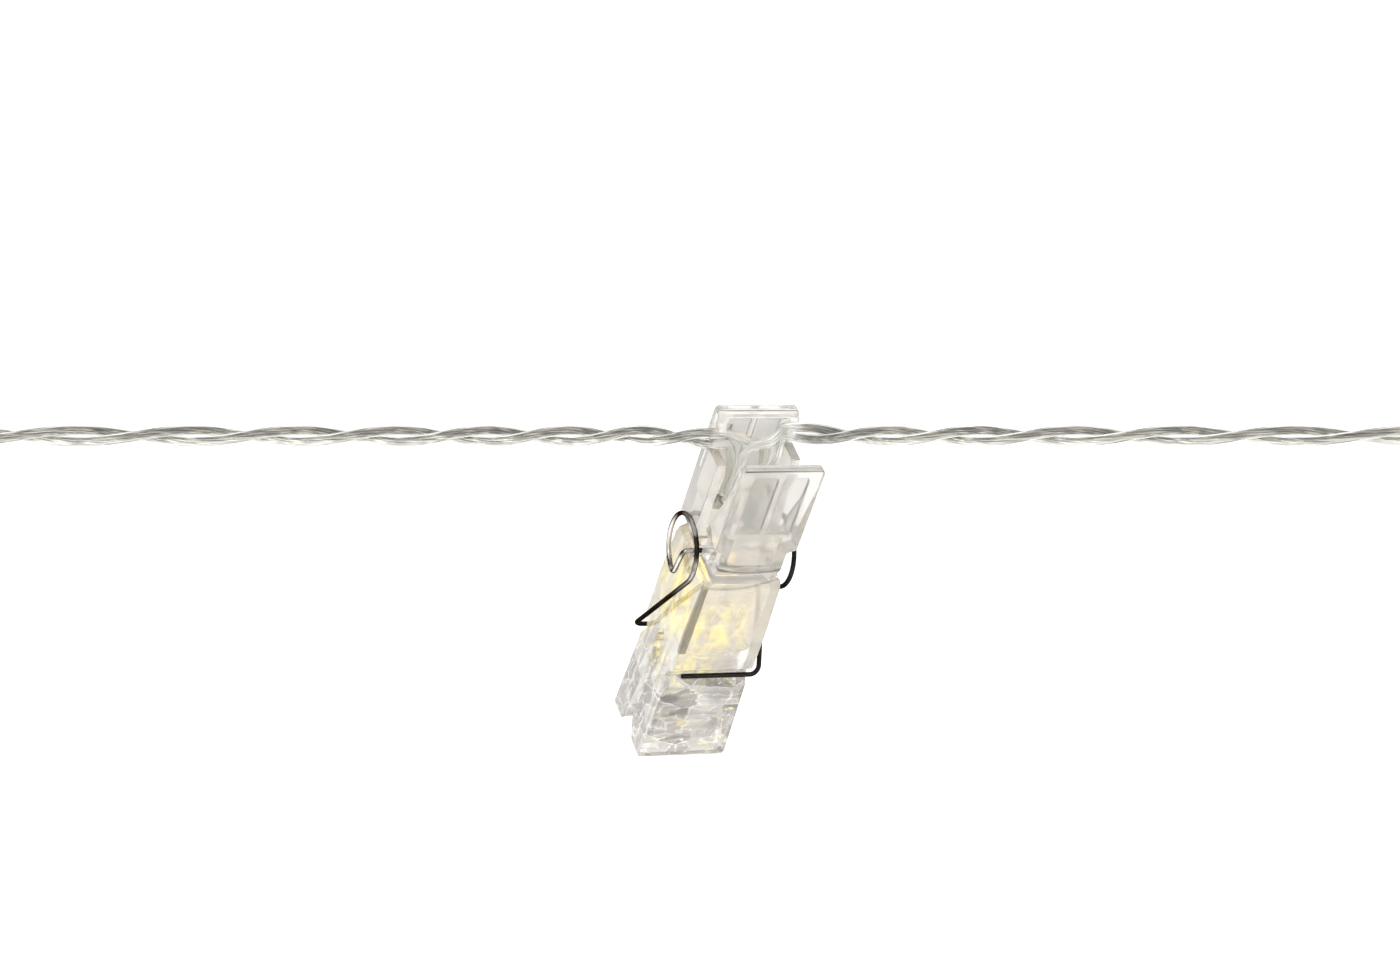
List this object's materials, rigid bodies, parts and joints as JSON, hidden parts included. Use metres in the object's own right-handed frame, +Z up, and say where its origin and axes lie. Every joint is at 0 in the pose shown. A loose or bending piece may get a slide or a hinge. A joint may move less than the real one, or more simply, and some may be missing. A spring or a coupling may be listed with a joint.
{
  "type": "lighted photo clip string",
  "caption": "Clear sprung photo clip with a warm LED inside, hung on a twisted pair of clear wires between small wall hooks.",
  "frame": {"origin": "middle of the left hook's adhesive face, on the wall", "axes": "+X along the string to the right hook, +Y into the wall, +Z up"},
  "size_m": [0.223, 0.0243, 0.06],
  "materials": {
    "clear_plastic": "clear, glossy, faintly cream",
    "led_lens": "warm water-clear epoxy",
    "tinned_wire": "bright tinned",
    "spring_steel": "dark oiled spring wire",
    "sleeve_plastic": "milky clear sleeve",
    "wire_jacket": "translucent grey-green wire jacket",
    "hook_plastic": "clear moulded plastic",
    "adhesive_foam": "white adhesive foam"
  },
  "bodies": {
    "string_and_hooks": {"left_pad": "adhesive_foam", "left_hook": "hook_plastic", "left_end_loop": "wire_jacket", "left_sleeve": "sleeve_plastic", "string_left_a": "wire_jacket", "string_left_b": "wire_jacket", "string_right_a": "wire_jacket", "string_right_b": "wire_jacket", "right_sleeve": "sleeve_plastic", "right_end_loop": "wire_jacket", "right_hook": "hook_plastic", "right_pad": "adhesive_foam"},
    "clip": {"rear_half": "clear_plastic", "led_lens": "led_lens", "led_lead_a": "tinned_wire", "led_lead_b": "tinned_wire", "joint_sleeve_a": "sleeve_plastic", "joint_sleeve_b": "sleeve_plastic", "tail_left_a": "wire_jacket", "tail_left_b": "wire_jacket", "tail_right_a": "wire_jacket", "tail_right_b": "wire_jacket", "clip_spring": "spring_steel"},
    "jaw_lever": {"front_half": "clear_plastic"}
  },
  "joints": [
    {"name": "clip_swing", "type": "hinge", "parent": "string_and_hooks", "child": "clip", "pos_m": [0.10817, -0.014, -0.0046], "axis": [0.9346, 0.3245, -0.1457], "range_deg": [-70, 11]},
    {"name": "jaw_open", "type": "hinge", "parent": "clip", "child": "jaw_lever", "pos_m": [0.10551, -0.01648, -0.01899], "axis": [-0.9165, -0.3303, 0.2258], "range_deg": [0, 17], "stiffness_Nm_per_rad": 0.1, "springref_deg": -17.19, "deforming": ["clip_spring"]}
  ]
}
